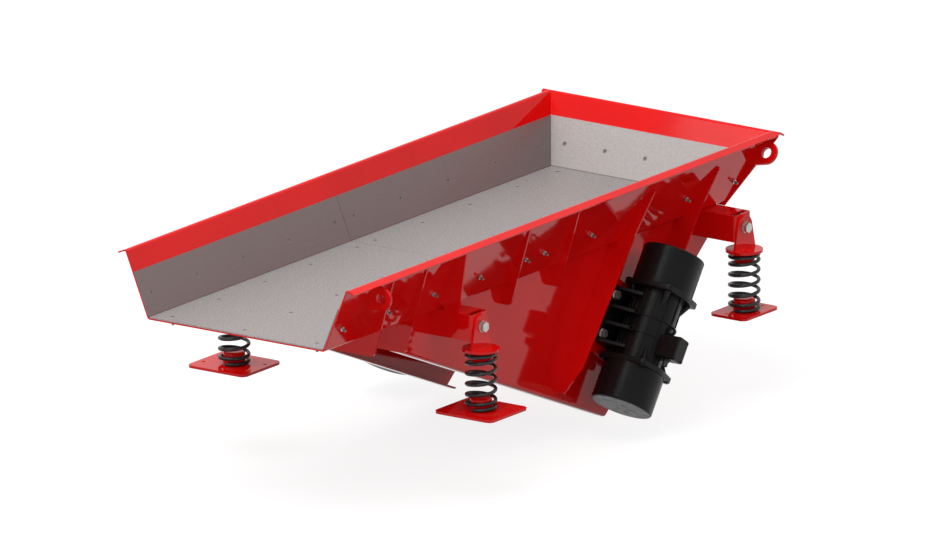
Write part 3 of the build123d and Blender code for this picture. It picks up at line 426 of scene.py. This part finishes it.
class Finishes:
    """All finishes of the feeder, each made once."""

    def __init__(self) -> None:
        """Builds every material."""
        self.red = SprayPaint("red_gloss", (0.80, 0.004, 0.004)).build()
        self.motor = SprayPaint(
            "black_cast_paint", (0.007, 0.0066, 0.0066), 0.30, 1.24, 0.2, 260.0, 0.00010, 0.002
        ).build()
        self.spring = SprayPaint(
            "spring_coating", (0.022, 0.024, 0.026), 0.26, 1.4, 0.2, 500.0, 0.00002, 0.0
        ).build()
        self.liner = RolledPlate("wear_plate", (0.345, 0.325, 0.32)).build()
        # Side liners: the floor's wear plate steel with painted shade, its colour darkened for the
        # shade that falls on the side walls; the smoother texture is the plate's own.
        self.side_liner = RolledPlate(
            "painted_shade_smooth_wear_plate", (0.215, 0.165, 0.16), roughness=0.34, line_share=0.6, contrast=0.06
        ).build()
        # Rear liner: the same wear plate steel with painted light, its colour lightened for the
        # light that falls on the back wall; its grain across the pan is its own.
        self.rear_liner = RolledPlate(
            "painted_light_rear_wear_plate", (0.42, 0.39, 0.38), Grain.ALONG_Y, contrast=0.12
        ).build()
        self.zinc = PlainMetal("zinc_plated", (0.50, 0.49, 0.47), 0.34).build()
        self.screw = PlainMetal("screw_steel", (0.23, 0.20, 0.195), 0.42, 0.3).build()
        self.iron = PlainMetal("machined_iron", (0.26, 0.26, 0.27), 0.42).build()
        self.bearing = PlainMetal("ground_steel", (0.62, 0.62, 0.63), 0.16, 1.0).build()
        self.gland = PlainMetal("gland_plastic", (0.03, 0.03, 0.03), 0.5, 0.0).build()

    def of_slot(self, slot: str) -> bpy.types.Material:
        """The finish that a record's material slot gets.

        Args:
            slot: The slot's name in the record.

        Returns:
            The material for it.
        """
        return {
            "red_paint": self.red,
            "motor_black": self.motor,
            "spring_black": self.spring,
            "liner_steel": self.liner,
            "zinc_steel": self.zinc,
            "machined_iron": self.iron,
            "bearing_steel": self.bearing,
            "gland_plastic": self.gland,
        }[slot]

    def of_node(self, node: str) -> Optional[bpy.types.Material]:
        """The finish of a piece that differs from the rest of its slot: the wear plate's steel with
        painted shade on the side liners and painted light on the rear liner.

        Args:
            node: The piece's name.

        Returns:
            The material for it, or None where the slot's own finish holds.
        """
        if node.startswith("side_liner"):
            return self.side_liner
        return self.rear_liner if node == "rear_liner" else None

    def dress_frame(self) -> None:
        """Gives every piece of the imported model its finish."""
        for part in frame["record"]["subparts"]:
            piece = frame["nodes"][part["node"]]
            finish = self.of_node(part["node"]) or self.of_slot(part["material_slot"])
            for place in piece.material_slots:
                place.material = finish
            log.info("dressed %s with %s", part["node"], finish.name)


@dataclass
class CoilSprings:
    """Four compression springs with closed, ground ends."""

    finishes: Finishes
    wire: float = 0.014
    radius: float = 0.055
    end_pitch: float = 0.022
    end_turns: float = 1.25
    turns: float = 6.5
    grinding: float = 0.0015
    place_x: float = 0.858
    place_y: float = 0.565
    steps_per_turn: int = 40
    sides: int = 20

    def build(self) -> List[bpy.types.Object]:
        """Models one spring and sets a copy on each foot.

        Returns:
            The four springs.
        """
        low, high = (corner.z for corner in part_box("coil_springs"))
        master = self.coil(low, high)
        springs = []
        for end, end_name in ((1, "front"), (-1, "rear")):
            for side, side_name in ((1, "left"), (-1, "right")):
                x, y = end * self.place_x, side * self.place_y
                spring = master.copy()
                spring.data = master.data.copy()
                spring.name = f"spring_{end_name}_{side_name}"
                bpy.context.collection.objects.link(spring)
                spring.data.transform(Matrix.Translation((x, y, 0.0)))
                spring.data.materials.clear()
                spring.data.materials.append(self.finishes.spring)
                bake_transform(spring)
                springs.append(spring)
        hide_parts("coil_springs")
        bpy.data.objects.remove(master)
        log.info("coil springs: 4")
        return springs

    def coil(self, low: float, high: float) -> bpy.types.Object:
        """Sweeps a round section along one coil and grinds its ends flat.

        Args:
            low: Height of the lower ground face.
            high: Height of the upper ground face.

        Returns:
            The coil, about the Z axis.
        """
        deselect_all()
        bpy.ops.mesh.primitive_circle_add(
            vertices=self.sides,
            radius=self.wire / 2,
            fill_type="NGON",
            location=(self.radius, 0.0, 0.0),
            rotation=(math.pi / 2, 0.0, 0.0),
        )
        coil = bpy.context.object
        coil.name = "spring_master"
        start = low + self.wire / 2 - self.grinding
        finish = high - self.wire / 2 + self.grinding
        end_rise = self.end_pitch * self.end_turns
        open_turns = self.turns - 2 * self.end_turns
        open_rise = finish - start - 2 * end_rise
        bpy.ops.object.transform_apply(location=True, rotation=True, scale=True)
        bpy.ops.object.mode_set(mode="EDIT")
        bpy.ops.mesh.select_all(action="SELECT")
        bpy.ops.transform.translate(value=(0.0, 0.0, start))
        closed_end = (self.end_turns, end_rise)
        for turns, rise in (closed_end, (open_turns, open_rise), closed_end):
            steps = round(turns * self.steps_per_turn)
            for _ in range(steps):
                bpy.ops.mesh.extrude_region_move(
                    TRANSFORM_OT_translate={"value": (0.0, 0.0, rise / steps)}
                )
                bpy.ops.transform.rotate(
                    value=-2 * math.pi * turns / steps,
                    orient_axis="Z",
                    center_override=(0.0, 0.0, 0.0),
                )
        for height, outwards in ((low, -1.0), (high, 1.0)):
            bpy.ops.mesh.select_all(action="SELECT")
            bpy.ops.mesh.bisect(
                plane_co=(0.0, 0.0, height),
                plane_no=(0.0, 0.0, outwards),
                use_fill=True,
                clear_outer=True,
            )
        bpy.ops.mesh.select_all(action="SELECT")
        bpy.ops.mesh.normals_make_consistent(inside=False)
        bpy.ops.object.mode_set(mode="OBJECT")
        bpy.ops.object.shade_smooth_by_angle(angle=math.radians(40.0))
        return coil


@dataclass
class LinerScrews:
    """Countersunk socket screws of the wear plates, with nuts on the pan's outside."""

    finishes: Finishes
    front_x: float = 1.650
    front_first: float = 0.058
    front_step: float = 0.29975
    rear_first: float = 1.377
    rear_step: float = 0.309
    per_row: int = 5
    rear_x: float = -0.972
    rear_last: float = 2.564
    rear_pitch: float = 0.184
    floor_pitch: float = 0.330
    floor_z: float = 0.388
    rise: float = 0.082
    depth: float = 0.252
    side_flare: float = 0.1045
    rear_run: float = 0.1475
    half_width: float = 0.400
    plate: float = 0.005
    grip: float = 0.011
    head: float = 0.009
    shank: float = 0.005
    socket: float = 0.0038
    nut: float = 0.0085
    nut_height: float = 0.009
    tail: float = 0.014
    sunk: float = 0.5 * MM
    socket_depth: float = 4.0 * MM
    tip_chamfer: float = 1.5 * MM
    tip_share: float = 0.75
    nut_chamfer: float = 0.8 * MM
    sides: int = 16

    def build(self) -> List[bpy.types.Object]:
        """Models one screw and one nut and sets copies at every seat.

        Returns:
            The screws and the nuts, each group joined to one piece.
        """
        seats = self.seats()
        screws = gather(self.screw(), seats, "liner_socket_screws", self.finishes.screw)
        nuts = gather(self.hexagon_nut(), seats, "liner_hexagon_nuts", self.finishes.zinc)
        for piece, node in ((screws, "liner_screws"), (nuts, "liner_nuts")):
            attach(piece, "tray")
            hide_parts(node)
        log.info("liner screws: %d", len(seats))
        return [screws, nuts]

    def seats(self) -> List[Matrix]:
        """Places of all screws, each with Z out of the plate into the pan.

        Returns:
            One matrix for each screw.
        """
        rows = [self.front_first + i * self.front_step for i in range(self.per_row)]
        rows += [self.rear_first + i * self.rear_step for i in range(self.per_row)]
        places = []
        side_angle = math.atan2(self.side_flare, self.depth)
        rear_angle = math.atan2(self.rear_run, self.depth)
        for side in (1.0, -1.0):
            normal = Vector((0.0, -side * math.cos(side_angle), math.sin(side_angle)))
            reach = self.half_width + self.side_flare * self.rise / self.depth
            for row in rows:
                foot = Vector((self.front_x - row, side * reach, self.floor_z + self.rise))
                places.append((foot, normal))
        normal = Vector((math.cos(rear_angle), 0.0, math.sin(rear_angle)))
        for i in range(-2, 3):
            back = self.rear_x - self.rear_run * self.rise / self.depth
            places.append((Vector((back, i * self.rear_pitch, self.floor_z + self.rise)), normal))
        for row in rows[:-1] + [self.rear_last]:
            for i in (-1, 0, 1):
                foot = Vector((self.front_x - row, i * self.floor_pitch, self.floor_z))
                places.append((foot, Vector((0.0, 0.0, 1.0))))
        return [
            Matrix.Translation(foot + normal * self.plate)
            @ normal.to_track_quat("Z", "Y").to_matrix().to_4x4()
            for foot, normal in places
        ]

    def screw(self) -> bpy.types.Object:
        """One screw, its head flush with Z = 0 and its shank downwards.

        Returns:
            The screw at the origin.
        """
        deselect_all()
        top = (0.0, 0.0, -self.sunk)
        bpy.ops.mesh.primitive_circle_add(vertices=HEXAGON, radius=self.socket, location=top)
        screw = bpy.context.object
        bpy.ops.object.mode_set(mode="EDIT")
        bpy.ops.mesh.primitive_circle_add(vertices=self.sides, radius=self.head, location=top)
        bpy.ops.mesh.select_all(action="SELECT")
        bpy.ops.mesh.bridge_edge_loops()
        self.pick(screw, lambda v: v.co.to_2d().length > self.head * 0.9)
        cone = self.head - self.shank
        shaft = self.grip + self.nut_height + self.tail - self.tip_chamfer - cone
        for depth, radius in (
            (cone, self.shank),
            (shaft, self.shank),
            (self.tip_chamfer, self.shank * self.tip_share),
        ):
            bpy.ops.mesh.extrude_region_move(TRANSFORM_OT_translate={"value": (0.0, 0.0, -depth)})
            ratio = radius / self.ring_radius(screw)
            bpy.ops.transform.resize(value=(ratio, ratio, 1.0), center_override=(0.0, 0.0, 0.0))
        bpy.ops.mesh.edge_face_add()
        self.pick(
            screw, lambda v: v.co.to_2d().length < self.socket * 1.05 and v.co.z > -2 * self.sunk
        )
        bpy.ops.mesh.extrude_region_move(
            TRANSFORM_OT_translate={"value": (0.0, 0.0, -self.socket_depth)}
        )
        bpy.ops.mesh.edge_face_add()
        return self.closed(screw)

    def hexagon_nut(self) -> bpy.types.Object:
        """One chamfered nut under the pan's plate.

        Returns:
            The nut at the origin.
        """
        deselect_all()
        across = self.nut / math.cos(math.pi / 6)
        bpy.ops.mesh.primitive_cylinder_add(
            vertices=HEXAGON,
            radius=across,
            depth=self.nut_height,
            location=(0.0, 0.0, -self.grip - self.nut_height / 2),
        )
        nut = bpy.context.object
        bevel = nut.modifiers.new("chamfer", "BEVEL")
        bevel.width = self.nut_chamfer
        bevel.segments = 2
        bpy.ops.object.modifier_apply(modifier="chamfer")
        bpy.ops.object.mode_set(mode="EDIT")
        bpy.ops.mesh.select_all(action="SELECT")
        return self.closed(nut)

    def ring_radius(self, piece: bpy.types.Object) -> float:
        """Radius of the selected ring about the Z axis.

        Args:
            piece: The mesh in edit mode.

        Returns:
            The largest distance of a selected point from the axis.
        """
        piece.update_from_editmode()
        return max(v.co.to_2d().length for v in piece.data.vertices if v.select)

    def pick(
        self, piece: bpy.types.Object, test: Callable[[bpy.types.MeshVertex], bool]
    ) -> None:
        """Selects the points that pass a test, and the edges between them.

        Args:
            piece: The mesh in edit mode.
            test: Says whether a point is wanted.
        """
        bpy.ops.mesh.select_mode(type="VERT")
        bpy.ops.mesh.select_all(action="DESELECT")
        bpy.ops.object.mode_set(mode="OBJECT")
        for vertex in piece.data.vertices:
            vertex.select = test(vertex)
        bpy.ops.object.mode_set(mode="EDIT")
        bpy.ops.mesh.select_mode(type="EDGE")

    def closed(self, piece: bpy.types.Object) -> bpy.types.Object:
        """Turns all faces outwards, shades the piece and settles it.

        Args:
            piece: The mesh in edit mode.

        Returns:
            The same object, in object mode.
        """
        bpy.ops.mesh.select_all(action="SELECT")
        bpy.ops.mesh.normals_make_consistent(inside=False)
        bpy.ops.object.mode_set(mode="OBJECT")
        bpy.ops.object.shade_smooth_by_angle(angle=math.radians(35.0))
        return settle(piece)


@dataclass
class EndFlanges:
    """Lobed end flanges of both motors, each running smoothly from ear to ear."""

    finishes: Finishes
    place: Point = (-0.264, 0.541, 0.059)
    lean: float = math.radians(34.0)
    radius: float = 0.1225
    bore: float = 0.112
    ear_circle: float = 0.130
    ear_radius: float = 0.0145
    start: float = 0.1405
    thickness: float = 0.021
    rounding: float = 0.0015
    steps: int = 160

    def build(self) -> bpy.types.Object:
        """Models one flange and sets a copy at each end of both motors.

        Returns:
            The four flanges, joined to one piece.
        """
        flanges = gather(self.flange(), self.seats(), "motor_end_flanges", self.finishes.motor)
        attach(flanges, "tray")
        log.info("motor end flanges: 4")
        return flanges

    def seats(self) -> List[Matrix]:
        """Places of the four flanges, each with Z along its motor's shaft.

        Returns:
            One matrix for each flange.
        """
        turn = Matrix.Rotation(-self.lean, 4, "Y")
        x, y, z = self.place
        return [
            Matrix.Translation((x, side * y, z)) @ turn @ Matrix.Translation((0.0, 0.0, rise))
            for side in (1, -1)
            for rise in (self.start, -self.start - self.thickness)
        ]

    def reach(self, angle: float) -> float:
        """Distance from the shaft to the flange's edge.

        Args:
            angle: Turn from the nearest ear, in radians.

        Returns:
            The distance in metres.
        """
        tangent = math.acos((self.radius - self.ear_radius) / self.ear_circle)
        ear_end = math.atan2(
            self.ear_radius * math.sin(tangent),
            self.ear_circle + self.ear_radius * math.cos(tangent),
        )
        if angle > tangent:
            return self.radius
        if angle > ear_end:
            return self.radius / math.cos(tangent - angle)
        across = self.ear_circle * math.sin(angle)
        return self.ear_circle * math.cos(angle) + math.sqrt(self.ear_radius**2 - across**2)

    def flange(self) -> bpy.types.Object:
        """One flange, standing on Z = 0.

        Returns:
            The flange at the origin.
        """
        deselect_all()
        bpy.ops.mesh.primitive_circle_add(vertices=self.steps, radius=self.radius)
        flange = bpy.context.object
        for vertex in flange.data.vertices:
            angle = math.atan2(vertex.co.y, vertex.co.x)
            from_ear = abs((angle % (math.pi / 2)) - math.pi / 4)
            vertex.co = vertex.co.normalized() * self.reach(from_ear)
        bpy.ops.object.mode_set(mode="EDIT")
        bpy.ops.mesh.primitive_circle_add(vertices=self.steps, radius=self.bore)
        bpy.ops.mesh.select_all(action="SELECT")
        bpy.ops.mesh.bridge_edge_loops()
        bpy.ops.mesh.select_all(action="SELECT")
        bpy.ops.mesh.extrude_region_move(
            TRANSFORM_OT_translate={"value": (0.0, 0.0, self.thickness)}
        )
        bpy.ops.mesh.select_all(action="SELECT")
        bpy.ops.mesh.normals_make_consistent(inside=False)
        bpy.ops.object.mode_set(mode="OBJECT")
        bevel = flange.modifiers.new("rounding", "BEVEL")
        bevel.width = self.rounding
        bevel.segments = 2
        bevel.angle_limit = math.radians(60.0)
        make_active(flange)
        bpy.ops.object.modifier_apply(modifier="rounding")
        bpy.ops.object.shade_smooth_by_angle(angle=math.radians(40.0))
        return settle(flange)


@dataclass
class Studio:
    """Pale floor, soft lamps and the camera of the photograph."""

    view_width: float = 3.4656
    target: Point = (0.450, 0.19375, 0.39901)
    azimuth: float = 125.069
    elevation: float = 15.337
    distance: float = 12.0
    floor_gap: float = 0.02
    surround: float = 0.62
    key_place: Point = (3.2, -0.8, 7.0)
    key_power: float = 430.0
    key_size: float = 7.0
    fill_place: Point = (4.0, 3.2, 0.4)
    fill_power: float = 14.0
    fill_size: float = 2.0
    floor_size: float = 60.0
    floor_tone: float = 0.26
    floor_lift: float = 0.84

    def build(self, lowest: float) -> None:
        """Adds the world, lamps, floor and camera.

        Args:
            lowest: Height of the feeder's lowest point.
        """
        self.world()
        self.lamps()
        self.floor(lowest - self.floor_gap)
        self.camera()

    def world(self) -> None:
        """A surround that lights evenly and is seen as plain white."""
        world = bpy.data.worlds.new("studio")
        bpy.context.scene.world = world
        world.use_nodes = True
        tree = world.node_tree
        surround = tree.nodes["Background"]
        surround.inputs["Color"].default_value = (1.0, 1.0, 1.0, 1.0)
        surround.inputs["Strength"].default_value = self.surround
        plain = tree.nodes.new("ShaderNodeBackground")
        plain.inputs["Strength"].default_value = 1.0
        mixed = tree.nodes.new("ShaderNodeMixShader")
        tree.links.new(self.seen(tree), mixed.inputs[0])
        tree.links.new(surround.outputs[0], mixed.inputs[1])
        tree.links.new(plain.outputs[0], mixed.inputs[2])
        tree.links.new(mixed.outputs[0], tree.nodes["World Output"].inputs["Surface"])

    def seen(self, tree: bpy.types.NodeTree) -> bpy.types.NodeSocket:
        """Adds nodes that are 1 for rays of the eye, a reflection or a clear body.

        Args:
            tree: The node tree to add them to.

        Returns:
            The socket that says so.
        """
        path = tree.nodes.new("ShaderNodeLightPath")
        total = path.outputs["Is Camera Ray"]
        for kind in ("Is Glossy Ray", "Is Transmission Ray"):
            either = tree.nodes.new("ShaderNodeMath")
            either.operation = "MAXIMUM"
            tree.links.new(total, either.inputs[0])
            tree.links.new(path.outputs[kind], either.inputs[1])
            total = either.outputs[0]
        return total

    def lamps(self) -> None:
        """A broad lamp over the discharge end and a weak one at the near side."""
        for name, place, power, size in (
            ("key", self.key_place, self.key_power, self.key_size),
            ("fill", self.fill_place, self.fill_power, self.fill_size),
        ):
            lamp = bpy.data.lights.new(name, "AREA")
            lamp.energy = power
            lamp.size = size
            holder = bpy.data.objects.new(name, lamp)
            holder.location = place
            aim = Vector(self.target) - Vector(place)
            holder.rotation_euler = aim.to_track_quat("-Z", "Y").to_euler()
            bpy.context.collection.objects.link(holder)

    def floor(self, height: float) -> None:
        """A wide white floor that keeps a faint shadow.

        Args:
            height: Z of the floor.
        """
        deselect_all()
        bpy.ops.mesh.primitive_plane_add(size=self.floor_size, location=(0.0, 0.0, height))
        floor = bpy.context.object
        floor.name = "studio_floor"
        shader = Shader("white_floor")
        shader.set(Roughness=1.0, Specular_IOR_Level=0.0)
        grey = (self.floor_tone, self.floor_tone, self.floor_tone, 1.0)
        shader.set(Base_Color=grey, Emission_Color=(1.0, 1.0, 1.0, 1.0))
        lift = shader.node("ShaderNodeMath", operation="MULTIPLY")
        lift.inputs[1].default_value = self.floor_lift
        shader.join(self.seen(shader.tree), lift.inputs[0])
        shader.join(lift.outputs[0], shader.surface.inputs["Emission Strength"])
        floor.data.materials.append(shader.material)
        floor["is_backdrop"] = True

    def camera(self) -> None:
        """A parallel camera at the photograph's angle."""
        azimuth = math.radians(self.azimuth)
        elevation = math.radians(self.elevation)
        back = Vector(
            (
                math.sin(azimuth) * math.cos(elevation),
                -math.cos(azimuth) * math.cos(elevation),
                math.sin(elevation),
            )
        )
        lens = bpy.data.cameras.new("camera")
        lens.type = "ORTHO"
        lens.ortho_scale = self.view_width
        lens.clip_end = self.floor_size
        holder = bpy.data.objects.new("camera", lens)
        holder.location = Vector(self.target) + back * self.distance
        holder.rotation_euler = (-back).to_track_quat("-Z", "Y").to_euler()
        bpy.context.collection.objects.link(holder)
        bpy.context.scene.camera = holder
        log.info("camera set")


def main() -> None:
    """Builds the feeder's looks in order."""
    cad_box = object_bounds()
    bpy.context.scene.view_settings.view_transform = "Standard"
    finishes = Finishes()
    finishes.dress_frame()
    CoilSprings(finishes).build()
    LinerScrews(finishes).build()
    EndFlanges(finishes).build()
    Studio().build(cad_box[0][2])


if __name__ == "__main__":
    main()
